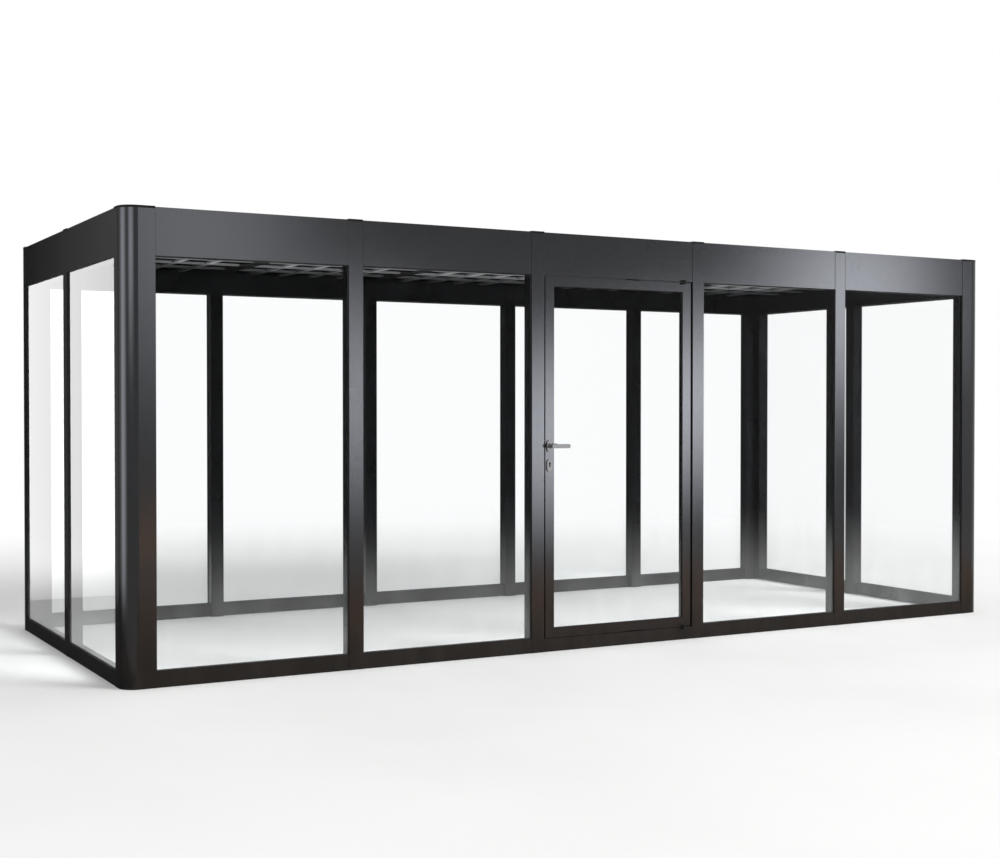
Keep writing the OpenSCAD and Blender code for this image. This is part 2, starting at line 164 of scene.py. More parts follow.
def powder_coat(name, colour, pale, shine, roughness, dirt_and_reflection_most):
    """Sprayed and baked coat: cloudy colour, orange peel, and dirt that thins out with height. The brown of
    the dirt is also a painted warm reflection of the ground.
    """
    finish, tree, shader = new_finish(name)
    cloud = patches(tree, grain(tree, CLOUDS_PER_METRE, CLOUD_DETAIL), CLOUD_LEVELS)
    clean = colour_between(tree, cloud, colour, pale)
    # The brown low down is dried dirt and also a painted warm reflection of the ground.
    low_down = spread(tree, height(tree), dirt_and_reflection_most, 0.0, 0.0, DIRT_AND_REFLECTION_TOP, smooth=True)
    splashes = grain(tree, SPLASHES_PER_METRE, SPLASH_DETAIL, SPLASH_STRETCH)
    dirt_and_reflection = combined(tree, "MULTIPLY", low_down, patches(tree, splashes, SPLASH_LEVELS, SPLASH_LEAST))
    tree.links.new(colour_between(tree, dirt_and_reflection, clean, DIRT_AND_REFLECTION_COLOUR), shader.inputs["Base Color"])
    satin = spread(tree, grain(tree, SATIN_PER_METRE, SATIN_DETAIL), *roughness, *SATIN_LEVELS)
    dulled = combined(tree, "MULTIPLY_ADD", dirt_and_reflection, DIRT_ROUGHER, satin)
    tree.links.new(dulled, shader.inputs["Roughness"])
    shader.inputs["Specular IOR Level"].default_value = shine
    raised(tree, shader, grain(tree, PEEL_PER_METRE, PEEL_DETAIL), PEEL_DEPTH, PEEL_STRENGTH)
    return finish


def dress(names, finish):
    """Gives CAD nodes their finish."""
    for name in names:
        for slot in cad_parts[name].material_slots:
            slot.material = finish


anthracite = powder_coat("anthracite_powder_coat", COAT_COLOUR, COAT_PALE, COAT_SHINE, COAT_ROUGHNESS,
                         DIRT_AND_REFLECTION_MOST)
dress(CORNER_POSTS + FRONT_POSTS + REAR_POSTS + SIDE_POSTS, anthracite)

# Base rails and door sill: hollow aluminium lengths cut to fit between the posts, in the same coat. The
# profile of the sill has low round ribs along its inner half, against slipping.
RIB_COUNT = 5
RIB_WIDTH = 4 * MM
RIB_HEIGHT = 1.6 * MM
RIB_INSET = 5 * MM
RIB_ROUNDING = 4
BASE_RAILS = [f"{wall}_base_rails" for wall in ("front", "rear", "left", "right")]
dress(BASE_RAILS + ["door_sill"], anthracite)


def new_piece(name, bm, finish, body):
    """Turns a finished mesh into a piece that moves with a body."""
    bmesh.ops.recalc_face_normals(bm, faces=bm.faces)
    mesh = bpy.data.meshes.new(name)
    bm.to_mesh(mesh)
    bm.free()
    mesh.materials.append(finish)
    piece = bpy.data.objects.new(name, mesh)
    bpy.context.scene.collection.objects.link(piece)
    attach(piece, body)
    return piece


def add_prism(bm, section, start, end):
    """Adds a straight bar: a section of points round its line, closed at both ends."""
    rings = [[bm.verts.new(Vector(point) + shift) for point in section] for shift in (start, end)]
    count = len(section)
    for i in range(count):
        bm.faces.new((rings[0][i], rings[0][(i + 1) % count], rings[1][(i + 1) % count], rings[1][i]))
    bm.faces.new(rings[0])
    bm.faces.new(list(reversed(rings[1])))


sill_low, sill_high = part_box("door_sill")
leaf_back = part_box("door_bottom_rail")[1].y
rib_arc = [math.pi * i / RIB_ROUNDING for i in range(RIB_ROUNDING + 1)]
rib_section = [(0, RIB_WIDTH / 2 * math.cos(a), RIB_HEIGHT * math.sin(a)) for a in rib_arc]
rib_first = leaf_back + RIB_INSET
rib_step = (sill_high.y - RIB_INSET - rib_first) / (RIB_COUNT - 1)
ribs = bmesh.new()
for i in range(RIB_COUNT):
    rib_y = rib_first + i * rib_step
    rib_ends = [Vector((x, rib_y, sill_high.z)) for x in (sill_low.x, sill_high.x)]
    add_prism(ribs, rib_section, *rib_ends)
new_piece("sill_ribs", ribs, anthracite, "frame")

# Fascia: one deep extrusion over each bay, a flat skin outside with a hollow roof beam behind it, hooked
# between the posts and coated with them. The joint at the right end of each length is filled level with the
# post in the colour of the coat, and a fine bead of black sealant closes the joint at its left end. The black
# of the bead also stands as painted shade in that joint.
POST_EDGE = 2.5 * MM
FILLER_WIDE = 1.5 * MM
FILLER_SUNK = 0.05 * MM
FILLER_LAP_SHARE = 0.8
JOINT_BEAD = 1.8 * MM
JOINT_EDGE = 0.8 * MM
JOINT_BEAD_SHARES = ((0.3, 0.6), (0.6, 0.85), (1, 1))
SEAL_COLOUR = (0.006, 0.006, 0.006, 1)
SEAL_WORN = (0.014, 0.014, 0.014, 1)
SEAL_SHINE = 0.35
SEAL_ROUGHNESS = (0.5, 0.65)
SEAL_GRAINS, SEAL_RELIEF = 900.0, 0.2
CHALK_PER_METRE, CHALK_DETAIL = 9.0, 4.0
CHALK_LEVELS = (0.4, 0.75)
MOULD_DETAIL = 2.0
MOULD_DEPTH = 0.3 * MM
WALL_POSTS = {
    "front": ["corner_post_front_left", *FRONT_POSTS, "corner_post_front_right"],
    "rear": ["corner_post_rear_left", *REAR_POSTS, "corner_post_rear_right"],
    "left": ["corner_post_front_left", "left_post", "corner_post_rear_left"],
    "right": ["corner_post_front_right", "right_post", "corner_post_rear_right"],
}
FASCIAS = [f"{wall}_fascia" for wall in WALL_POSTS]
dress(FASCIAS, anthracite)


def moulded(name, colour, worn, shine, roughness, grains, relief):
    """Moulded plastic or rubber: an even dark colour, slightly chalky in places, with a fine grain."""
    finish, tree, shader = new_finish(name)
    chalk = patches(tree, grain(tree, CHALK_PER_METRE, CHALK_DETAIL), CHALK_LEVELS)
    tree.links.new(colour_between(tree, chalk, colour, worn), shader.inputs["Base Color"])
    tree.links.new(spread(tree, chalk, *roughness), shader.inputs["Roughness"])
    shader.inputs["Specular IOR Level"].default_value = shine
    raised(tree, shader, grain(tree, grains, MOULD_DETAIL), MOULD_DEPTH, relief)
    return finish


def wall_place(wall):
    """How measures on a wall (along it, up, and inwards from the face of its posts) turn into a point."""
    low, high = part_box(WALL_POSTS[wall][0])[0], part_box(WALL_POSTS[wall][-1])[1]
    if wall == "front":
        return lambda along, up, inwards: Vector((along, low.y + inwards, up))
    if wall == "rear":
        return lambda along, up, inwards: Vector((along, high.y - inwards, up))
    if wall == "left":
        return lambda along, up, inwards: Vector((low.x + inwards, along, up))
    return lambda along, up, inwards: Vector((high.x - inwards, along, up))


def wall_bays(wall):
    """Where each bay of a wall starts and ends along it, from post to post."""
    axis = 0 if wall in ("front", "rear") else 1
    boxes = [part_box(name) for name in WALL_POSTS[wall]]
    return [(a[1][axis], b[0][axis]) for a, b in zip(boxes, boxes[1:])]


rubber = moulded("black_rubber", SEAL_COLOUR, SEAL_WORN, SEAL_SHINE, SEAL_ROUGHNESS, SEAL_GRAINS,
                 SEAL_RELIEF)
fascia_low, fascia_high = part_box("front_fascia")
face_step = fascia_low.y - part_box("front_post_1")[0].y
joint_shape = [(0, face_step), (0, JOINT_EDGE)]
joint_shape += [(JOINT_BEAD * aside, face_step * inwards) for aside, inwards in JOINT_BEAD_SHARES]
edge_middle = POST_EDGE * (1 - math.sqrt(0.5))
filler_shape = [(-FILLER_LAP_SHARE * POST_EDGE, FILLER_SUNK), (FILLER_WIDE, FILLER_SUNK),
                (FILLER_WIDE, face_step), (0, face_step), (-edge_middle, edge_middle)]
joint_shade_beads, joint_fillers = bmesh.new(), bmesh.new()
joint_ends = [Vector((0, 0, z)) for z in (fascia_low.z, fascia_high.z)]
for wall in WALL_POSTS:
    place = wall_place(wall)
    for start, end in wall_bays(wall):
        left, right, way = (start, end, 1) if wall in ("front", "right") else (end, start, -1)
        joint_section = [place(left + way * aside, 0, inwards) for aside, inwards in joint_shape]
        add_prism(joint_shade_beads, joint_section, *joint_ends)
        filler_section = [place(right - way * aside, 0, inwards) for aside, inwards in filler_shape]
        add_prism(joint_fillers, filler_section, *joint_ends)
# Painted shade: the black bead also stands in for the shade in the joint.
new_piece("fascia_joint_shade_beads", joint_shade_beads, rubber, "frame")
fillers = new_piece("fascia_joint_fillers", joint_fillers, anthracite, "frame")

# Caps: black plastic mouldings pushed into the open tops of the posts, where they stand a few millimetres
# above the fascia. Their surface has the fine matt grain of the mould.
CAP_COLOUR = (0.006, 0.006, 0.0066, 1)
CAP_WORN = (0.012, 0.012, 0.0126, 1)
CAP_SHINE = 0.12
CAP_ROUGHNESS = (0.42, 0.55)
CAP_GRAINS, CAP_RELIEF = 1400.0, 0.3
cap_plastic = moulded("matt_cap_plastic", CAP_COLOUR, CAP_WORN, CAP_SHINE, CAP_ROUGHNESS, CAP_GRAINS,
                      CAP_RELIEF)
dress(["corner_caps", "post_caps"], cap_plastic)

# Roof: hollow rafters from post to post, and flat coated panels that lie on the beams' ledges between them,
# satin and dusty on top. Their lower side is dull and darkened to near black as painted shade. A bead of
# black sealant closes the joint round each panel, and screws with wide heads hold the panels down.
UNDERSIDE_SHADE_COLOUR = (0.0065, 0.0068, 0.0074, 1)
UNDERSIDE_SHADE_PALE = (0.0105, 0.0108, 0.0115, 1)
ROOF_COLOUR = (0.012, 0.0126, 0.0138, 1)
ROOF_ROUGHNESS = (0.4, 0.52)
DUST_COLOUR = (0.060, 0.057, 0.052, 1)
DUST_MOST = 0.22
DUST_PER_METRE, DUST_DETAIL = 3.0, 8.0
DUST_LEVELS = (0.42, 0.72)
TURNED_UP = (0.4, 0.6)
WELD = 0.01 * MM
LEVEL_PLAY = 1 * MM
STRAIGHT_SHARE = 0.01
ROOF_SEAL_LAP = 6 * MM
ROOF_SEAL_RISE = 7 * MM
SCREW_STEP = 0.24
SCREW_INSET = 22 * MM
ROOF_SCREW_RADIUS = 6 * MM
ROOF_SCREW_HEIGHT = 3.2 * MM
SCREW_DOME_SHARES = ((0, 1), (0.45, 1), (0.8, 0.86), (1, 0.62))
SOCKET_WIDE_SHARE, SOCKET_FLOOR_SHARE = 0.8, 0.35
TURNED_SIDES = 24
STEEL_COLOUR = (0.42, 0.42, 0.43, 1)
STEEL_DARK = (0.30, 0.30, 0.31, 1)
SCRATCHES_PER_METRE, SCRATCH_DETAIL = 260.0, 3.0
SCRATCH_LEVELS = (0.3, 0.7)
SCRATCH_DEPTH, SCRATCH_STRENGTH = 0.1 * MM, 0.2
SCREW_ROUGHNESS = (0.25, 0.4)
dress(["rafters"], anthracite)


def roof_sheet():
    """Coated sheet: satin with washed-out dust on its upper side. Its lower side is dull and darkened to near
    black as painted shade.
    """
    finish, tree, shader = new_finish("roof_sheet_coat")
    surface = finish_node(tree, "NewGeometry")
    ways = finish_node(tree, "SeparateXYZ")
    tree.links.new(surface.outputs["True Normal"], ways.inputs["Vector"])
    upper = spread(tree, ways.outputs["Z"], 0, 1, *TURNED_UP)
    cloud = patches(tree, grain(tree, CLOUDS_PER_METRE, CLOUD_DETAIL), CLOUD_LEVELS)
    dust = patches(tree, grain(tree, DUST_PER_METRE, DUST_DETAIL), DUST_LEVELS, 0.0, DUST_MOST)
    # Painted shade: the lower side gets a darker colour than the upper side.
    shaded_below = colour_between(tree, cloud, UNDERSIDE_SHADE_COLOUR, UNDERSIDE_SHADE_PALE)
    above = colour_between(tree, dust, ROOF_COLOUR, DUST_COLOUR)
    tree.links.new(colour_between(tree, upper, shaded_below, above), shader.inputs["Base Color"])
    tree.links.new(spread(tree, dust, *ROOF_ROUGHNESS, 0.0, DUST_MOST), shader.inputs["Roughness"])
    tree.links.new(spread(tree, upper, 0, COAT_SHINE), shader.inputs["Specular IOR Level"])
    raised(tree, shader, grain(tree, PEEL_PER_METRE, PEEL_DETAIL), PEEL_DEPTH, PEEL_STRENGTH)
    return finish


dress(["roof_panels"], roof_sheet())


def sweep_loop(bm, loop, section, place):
    """Sweeps a section round a loop of square corners. The section is given as distance to the left of the
    way round and distance off the loop's plane, and place turns the three measures into a point."""
    count = len(loop)
    ways = [(Vector(loop[(i + 1) % count]) - Vector(loop[i])).normalized() for i in range(count)]
    rings = []
    for i in range(count):
        left = [Vector((-way.y, way.x)) for way in (ways[i - 1], ways[i])]
        corner = [Vector(loop[i]) + (left[0] + left[1]) * aside for aside, off in section]
        rings.append([bm.verts.new(place(p.x, p.y, s[1])) for p, s in zip(corner, section)])
    size = len(section)
    for i in range(count):
        near, far = rings[i], rings[(i + 1) % count]
        for k in range(size):
            bm.faces.new((near[k], near[(k + 1) % size], far[(k + 1) % size], far[k]))


def square_corners(outline):
    """Drops the points of an outline that lie on a straight run."""
    kept = []
    for i, point in enumerate(outline):
        before = point - outline[i - 1]
        after = outline[(i + 1) % len(outline)] - point
        if abs(before.cross(after)) > STRAIGHT_SHARE * before.length * after.length:
            kept.append(point)
    return kept


def top_outlines(node):
    """The outlines of a node's upper faces, each as a loop of corners seen from above, and their height."""
    bm = bmesh.new()
    bm.from_mesh(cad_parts[node].data)
    bmesh.ops.remove_doubles(bm, verts=bm.verts, dist=WELD)
    level = max(v.co.z for v in bm.verts)
    lower = [f for f in bm.faces if min(v.co.z for v in f.verts) < level - LEVEL_PLAY]
    bmesh.ops.delete(bm, geom=lower, context="FACES")
    follows = {}
    for edge in bm.edges:
        if len(edge.link_loops) == 1:
            loop = edge.link_loops[0]
            follows[loop.vert.index] = (loop.link_loop_next.vert.index, loop.vert.co.xy.copy())
    outlines = []
    while follows:
        index = min(follows)
        outline = []
        while index in follows:
            index, point = follows.pop(index)
            outline.append(point)
        outlines.append(square_corners(outline))
    bm.free()
    return outlines, level


def socket_radius(angle, across_flats):
    """Radius of a hexagon at an angle."""
    sixth = math.pi / 3
    return across_flats / 2 / math.cos(angle % sixth - sixth / 2)


def add_turned(bm, centre, outward, rings, hollow=False):
    """Adds a turned body that stands outward from a centre. Each ring is a height and a radius, which can
    be a function of the angle. A hollow body closes on its first ring."""
    turn = outward.to_track_quat("Z", "Y")
    angles = [2 * math.pi * i / TURNED_SIDES for i in range(TURNED_SIDES)]
    made = []
    for tall, wide in rings:
        reach = [wide(a) if callable(wide) else wide for a in angles]
        points = [Vector((r * math.cos(a), r * math.sin(a), tall)) for r, a in zip(reach, angles)]
        made.append([bm.verts.new(centre + turn @ p) for p in points])
    for near, far in zip(made, made[1:] + made[:1] if hollow else made[1:]):
        for i in range(TURNED_SIDES):
            after = (i + 1) % TURNED_SIDES
            bm.faces.new((near[i], near[after], far[after], far[i]))
    if not hollow:
        bm.faces.new(made[-1])
        bm.faces.new(list(reversed(made[0])))


def add_screw(bm, centre, outward, radius, head):
    """Adds a domed screw head with a hexagon socket, standing on a face."""
    def socket(angle):
        return socket_radius(angle, radius * SOCKET_WIDE_SHARE)
    dome = [(head * tall, radius * wide) for tall, wide in SCREW_DOME_SHARES]
    add_turned(bm, centre, outward, dome + [(head, socket), (head * SOCKET_FLOOR_SHARE, socket)])


def brushed(name, roughness, stretch=(1, 1, 1)):
    """Brushed steel: fine scratches drawn out along one way."""
    finish, tree, shader = new_finish(name)
    lines = grain(tree, SCRATCHES_PER_METRE, SCRATCH_DETAIL, stretch)
    tree.links.new(colour_between(tree, lines, STEEL_COLOUR, STEEL_DARK), shader.inputs["Base Color"])
    tree.links.new(spread(tree, lines, *roughness, *SCRATCH_LEVELS), shader.inputs["Roughness"])
    shader.inputs["Metallic"].default_value = 1.0
    raised(tree, shader, lines, SCRATCH_DEPTH, SCRATCH_STRENGTH)
    return finish


outlines, panel_top = top_outlines("roof_panels")
seal_gap = min(abs(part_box("rafters")[0].x - p.x) for outline in outlines for p in outline)
seal_section = [(ROOF_SEAL_LAP, 0), (ROOF_SEAL_LAP / 2, ROOF_SEAL_RISE / 6), (0, ROOF_SEAL_RISE / 3),
                (-seal_gap / 2, ROOF_SEAL_RISE * 0.6), (-seal_gap, ROOF_SEAL_RISE), (-seal_gap, 0)]
roof_seals, roof_screws = bmesh.new(), bmesh.new()
for outline in outlines:
    sweep_loop(roof_seals, outline, seal_section, lambda x, y, up: Vector((x, y, panel_top + up)))
    for start, end in zip(outline, outline[1:] + outline[:1]):
        way = end - start
        inset = Vector((-way.y, way.x)).normalized() * SCREW_INSET
        steps = int(way.length / SCREW_STEP)
        for i in range(steps):
            seat = (start + way * (i + 0.5) / steps + inset).to_3d() + Vector((0, 0, panel_top))
            add_screw(roof_screws, seat, Vector((0, 0, 1)), ROOF_SCREW_RADIUS, ROOF_SCREW_HEIGHT)
screw_steel = brushed("screw_steel", SCREW_ROUGHNESS)
new_piece("roof_panel_seals", roof_seals, rubber, "frame")
new_piece("roof_panel_screws", roof_screws, screw_steel, "frame")

# Ceiling bars: a grid of slim trim bars fixed against the underside of the panels, from rafter to rafter and
# from beam to beam. They have a pale grey coat, duller than the frame's and too high for any splashes; its
# colour is darkened far below pale grey as painted shade.
BAR_SHADED_COLOUR = (0.040, 0.041, 0.0425, 1)
BAR_SHADED_PALE = (0.054, 0.055, 0.057, 1)
BAR_SHINE = 0.05
BAR_ROUGHNESS = (0.35, 0.45)
# Painted shade: the bars are given a dark colour in place of their pale grey.
shaded_bar_coat = powder_coat("shaded_pale_bar_coat", BAR_SHADED_COLOUR, BAR_SHADED_PALE, BAR_SHINE, BAR_ROUGHNESS, dirt_and_reflection_most=0.0)
dress(["ceiling_bars"], shaded_bar_coat)

# Panes: clear toughened glass, one sheet to a bay, lowered into the grooves of rail, posts and beam. Round
# each pane, outside and inside, lies a black rubber gasket pressed between the glass and the metal.
GLASS_COLOUR = (0.985, 0.993, 0.995, 1)
GLASS_SHINE = (0.06, 0.06, 0.06, 1)
GLASS_IOR = 1.45
MIST_COLOUR = (0.86, 0.88, 0.88, 1)
MIST_BOTTOM, MIST_TOP = 0.1, 0.8
MIST_MOST = 0.08
STREAKS_PER_METRE, STREAK_DETAIL = 6.0, 5.0
STREAK_LEVELS = (0.3, 0.7)
STREAK_LEAST = 0.6
STREAK_STRETCH = (1, 1, 0.3)
GASKET_LIP = 4.5 * MM
GASKET_BULGE = 3.2 * MM
GASKET_FOOT = 6 * MM
GASKET_CLEAR = 0.2 * MM
DOOR_BAY = 2
GLASS_WALLS = [f"{wall}_glass" for wall in WALL_POSTS]


def clear_glass():
    """Clear glass that lamps shine through, with a breath of mist on its lowest part."""
    finish, tree, shader = new_finish("clear_toughened_glass")
    shader.inputs["Base Color"].default_value = GLASS_COLOUR
    shader.inputs["Roughness"].default_value = 0.0
    shader.inputs["IOR"].default_value = GLASS_IOR
    shader.inputs["Specular Tint"].default_value = GLASS_SHINE
    shader.inputs["Transmission Weight"].default_value = 1.0
    mist = finish_node(tree, "BsdfDiffuse")
    mist.inputs["Color"].default_value = MIST_COLOUR
    low_down = spread(tree, height(tree), MIST_MOST, 0.0, MIST_BOTTOM, MIST_TOP, smooth=True)
    streaks = grain(tree, STREAKS_PER_METRE, STREAK_DETAIL, STREAK_STRETCH)
    misted = combined(tree, "MULTIPLY", low_down, patches(tree, streaks, STREAK_LEVELS, STREAK_LEAST))
    misty = finish_node(tree, "MixShader")
    tree.links.new(misted, misty.inputs["Fac"])
    tree.links.new(shader.outputs["BSDF"], misty.inputs[1])
    tree.links.new(mist.outputs["BSDF"], misty.inputs[2])
    lamp_way = finish_node(tree, "BsdfTransparent")
    lamp_way.inputs["Color"].default_value = GLASS_COLOUR
    path = finish_node(tree, "LightPath")
    lit = finish_node(tree, "MixShader")
    tree.links.new(path.outputs["Is Shadow Ray"], lit.inputs["Fac"])
    tree.links.new(misty.outputs["Shader"], lit.inputs[1])
    tree.links.new(lamp_way.outputs["BSDF"], lit.inputs[2])
    tree.links.new(lit.outputs["Shader"], tree.nodes["Material Output"].inputs["Surface"])
    return finish


def opening_loop(left, right, bottom, top):
    """Corners of an opening, with its clear side on the left of the way round."""
    return [(left, bottom), (right, bottom), (right, top), (left, top)]


def gasket_sections(glass_out, glass_in):
    """Sections of a pane's outer and inner gasket. The pane's faces lie this far in from the wall's face."""
    bulge = [(-GASKET_FOOT, 0.05), (GASKET_LIP, 0.05), (GASKET_LIP * 0.9, 0.35), (GASKET_LIP * 0.55, 0.8),
             (GASKET_CLEAR, 1.0), (GASKET_CLEAR, 0.3), (-GASKET_FOOT, 0.25)]
    outer = [(aside, glass_out - GASKET_BULGE * off) for aside, off in bulge]
    inner = [(aside, glass_in + GASKET_BULGE * off) for aside, off in bulge]
    return outer, inner


dress(GLASS_WALLS + ["door_glass"], clear_glass())
front_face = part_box("front_post_1")[0].y
glass_out, glass_in = (corner.y - front_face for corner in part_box("front_glass"))
for wall in WALL_POSTS:
    bays = wall_bays(wall)
    if wall == "front":
        del bays[DOOR_BAY]
    rail_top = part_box(f"{wall}_base_rails")[1].z
    gaskets = bmesh.new()
    for left, right in bays:
        for section in gasket_sections(glass_out, glass_in):
            sweep_loop(gaskets, opening_loop(left, right, rail_top, fascia_low.z), section, wall_place(wall))
    new_piece(f"{wall}_gaskets", gaskets, rubber, "frame")

# Door leaf: two full-height stiles and two rails of the same coated aluminium, screwed together from inside
# round one pane with its own gaskets. A soft black strip along the inner rim of each edge closes the gap.
SEAL_PLAY = 3 * MM
SEAL_DEPTH = 9 * MM
SEAL_FIN_SHARES = ((1, 0.35), (0.75, 1), (0.45, 1), (0.3, 0.35))
DOOR_METAL = ["door_lock_stile", "door_hinge_stile", "door_top_rail", "door_bottom_rail"]
dress(DOOR_METAL, anthracite)
lock_low, lock_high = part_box("door_lock_stile")
hinge_low, hinge_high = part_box("door_hinge_stile")
leaf_rail_top, leaf_head_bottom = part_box("door_bottom_rail")[1].z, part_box("door_top_rail")[0].z
leaf_opening = opening_loop(lock_high.x, hinge_low.x, leaf_rail_top, leaf_head_bottom)
door_gaskets = bmesh.new()
for section in gasket_sections(glass_out, glass_in):
    sweep_loop(door_gaskets, leaf_opening, section, wall_place("front"))
new_piece("door_gaskets", door_gaskets, rubber, "door")


def add_edge_seal(bm, start, end, outward, reach):
    """Adds a strip with two soft fins along an edge of the leaf, reaching outwards across the gap."""
    across = Vector((0, 1, 0)) * (SEAL_DEPTH / 2)
    far_fin = [(-aside, off) for aside, off in reversed(SEAL_FIN_SHARES)]
    shape = [(-1, 0), (1, 0), *SEAL_FIN_SHARES, *far_fin]
    section = [across * aside + outward * (reach * off) for aside, off in shape]
    add_prism(bm, section, start, end)


doorway_left, doorway_right = wall_bays("front")[DOOR_BAY]
seal_y = lock_high.y - SEAL_DEPTH / 2
lock_foot, lock_head = (Vector((lock_low.x, seal_y, z)) for z in (lock_low.z, lock_high.z))
hinge_foot, hinge_head = (Vector((hinge_high.x, seal_y, z)) for z in (lock_low.z, lock_high.z))
leaf_edges = (
    (lock_foot, lock_head, Vector((-1, 0, 0)), lock_low.x - doorway_left),
    (hinge_foot, hinge_head, Vector((1, 0, 0)), doorway_right - hinge_high.x),
    (lock_head, hinge_head, Vector((0, 0, 1)), fascia_low.z - lock_high.z),
    (lock_foot, hinge_foot, Vector((0, 0, -1)), lock_low.z - sill_high.z),
)
door_seals = bmesh.new()
for start, end, outward, gap in leaf_edges:
    add_edge_seal(door_seals, start, end, outward, gap - SEAL_PLAY)
new_piece("door_edge_seals", door_seals, rubber, "door")

# Hinges: black coated steel, one half of each on the leaf and one on the fascia or the sill, bolted from
# inside the profile. The two knuckles turn on a pin in front of the seam, and a black plastic cap with a
# domed top closes each knuckle.
HINGE_COLOUR = (0.0055, 0.0055, 0.006, 1)
HINGE_PALE = (0.009, 0.009, 0.0095, 1)
HINGE_SHINE = 0.3
HINGE_ROUGHNESS = (0.3, 0.4)
HINGE_DIRT_AND_REFLECTION = 0.2
KNUCKLE_CAP_HEIGHT = 3 * MM
KNUCKLE_CAP_WIDE_SHARE = 0.84
KNUCKLE_CAP_SHARES = ((0, 1), (0.4, 1), (0.75, 0.8), (1, 0.3))
hinge_coat = powder_coat("black_hinge_coat", HINGE_COLOUR, HINGE_PALE, HINGE_SHINE, HINGE_ROUGHNESS,
                         HINGE_DIRT_AND_REFLECTION)
dress(["door_hinge_leaves", "frame_hinge_leaves"], hinge_coat)
knuckle_low, knuckle_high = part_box("frame_hinge_leaves")
knuckle_radius = (knuckle_high.x - knuckle_low.x) / 2
hinge_x, hinge_y = knuckle_low.x + knuckle_radius, knuckle_low.y + knuckle_radius
head_seam, foot_seam = (fascia_low.z + lock_high.z) / 2, (sill_high.z + lock_low.z) / 2
knuckle_end = knuckle_high.z - head_seam
cap_radius = knuckle_radius * KNUCKLE_CAP_WIDE_SHARE
cap_rings = [(KNUCKLE_CAP_HEIGHT * tall, cap_radius * wide) for tall, wide in KNUCKLE_CAP_SHARES]
for body, way in (("frame", 1), ("door", -1)):
    knuckle_caps = bmesh.new()
    for seam, up in ((head_seam, way), (foot_seam, -way)):
        cap_seat = Vector((hinge_x, hinge_y, seam + up * knuckle_end))
        add_turned(knuckle_caps, cap_seat, Vector((0, 0, up)), cap_rings)
    new_piece(f"{body}_knuckle_caps", knuckle_caps, cap_plastic, body)

# Lock: a mortice lock inside the lock stile. Its brushed steel faceplate shows on the edge of the leaf,
# screwed on at both ends, with the bevelled latch and the square bolt. A steel keeper with two openings is
# screwed to the post.
PLATE_WIDTH = 20 * MM
PLATE_TALL = 235 * MM
PLATE_THICK = 1.2 * MM
PLATE_INSET = 6 * MM
PLATE_ROUNDING = 12
PLATE_SCREW_RADIUS = 3.6 * MM
PLATE_SCREW_HEIGHT = 0.8 * MM
LATCH_WIDE, LATCH_TALL, LATCH_OUT = 11 * MM, 30 * MM, 2.6 * MM
BOLT_WIDE, BOLT_TALL, BOLT_OUT = 9 * MM, 34 * MM, 0.6 * MM
KEEPER_THICK = 1 * MM
KEEPER_PLAY = 3 * MM
KEEPER_RIM = 3.5 * MM
ROSE_ROUGHNESS = (0.22, 0.36)
BRUSHED_UPRIGHT = (1, 1, 0.08)
rose_steel = brushed("brushed_rose_steel", ROSE_ROUGHNESS, BRUSHED_UPRIGHT)
lever_rose_low, lever_rose_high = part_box("lever_roses")
key_rose_low, key_rose_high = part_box("key_roses")
lever_axis = (lever_rose_low + lever_rose_high) / 2
key_axis = (key_rose_low + key_rose_high) / 2
latch_z, bolt_z = lever_axis.z, key_axis.z
plate_mid = (latch_z + bolt_z) / 2
plate_y = lock_low.y + PLATE_WIDTH / 2 + PLATE_INSET


def rounded_plate(y, z, wide, tall):
    """Outline of an upright plate with round ends, in the plane of a leaf's edge."""
    bow = [math.pi * i / PLATE_ROUNDING for i in range(PLATE_ROUNDING + 1)]
    half, rise = wide / 2, (tall - wide) / 2
    top = [Vector((0, y + half * math.cos(a), z + rise + half * math.sin(a))) for a in bow]
    return top + [Vector((0, y - half * math.cos(a), z - rise - half * math.sin(a))) for a in bow]


def add_block(bm, low, high):
    """Adds a flat bar between two opposite corners."""
    corners = ((low.y, low.z), (high.y, low.z), (high.y, high.z), (low.y, high.z))
    section = [(low.x, y, z) for y, z in corners]
    add_prism(bm, section, Vector((0, 0, 0)), Vector((high.x - low.x, 0, 0)))


leaf_edge, plate_face = lock_low.x, lock_low.x - PLATE_THICK
faceplate = bmesh.new()
plate_outline = rounded_plate(plate_y, plate_mid, PLATE_WIDTH, PLATE_TALL)
add_prism(faceplate, plate_outline, Vector((leaf_edge, 0, 0)), Vector((plate_face, 0, 0)))
latch_half = LATCH_WIDE / 2
latch_section = [(0, -latch_half, 0), (-LATCH_OUT, -latch_half, 0), (-LATCH_OUT / 4, latch_half, 0),
                 (0, latch_half, 0)]
latch_ends = [Vector((plate_face, plate_y, latch_z + side * LATCH_TALL / 2)) for side in (-1, 1)]
add_prism(faceplate, latch_section, *latch_ends)
bolt_half = Vector((0, BOLT_WIDE / 2, BOLT_TALL / 2))
bolt_mid = Vector((plate_face, plate_y, bolt_z))
add_block(faceplate, bolt_mid - bolt_half - Vector((BOLT_OUT, 0, 0)), bolt_mid + bolt_half)
for side in (-1, 1):
    screw_seat = Vector((plate_face, plate_y, plate_mid + side * (PLATE_TALL - PLATE_WIDTH) / 2))
    add_screw(faceplate, screw_seat, Vector((-1, 0, 0)), PLATE_SCREW_RADIUS, PLATE_SCREW_HEIGHT)
new_piece("lock_faceplate", faceplate, rose_steel, "door")

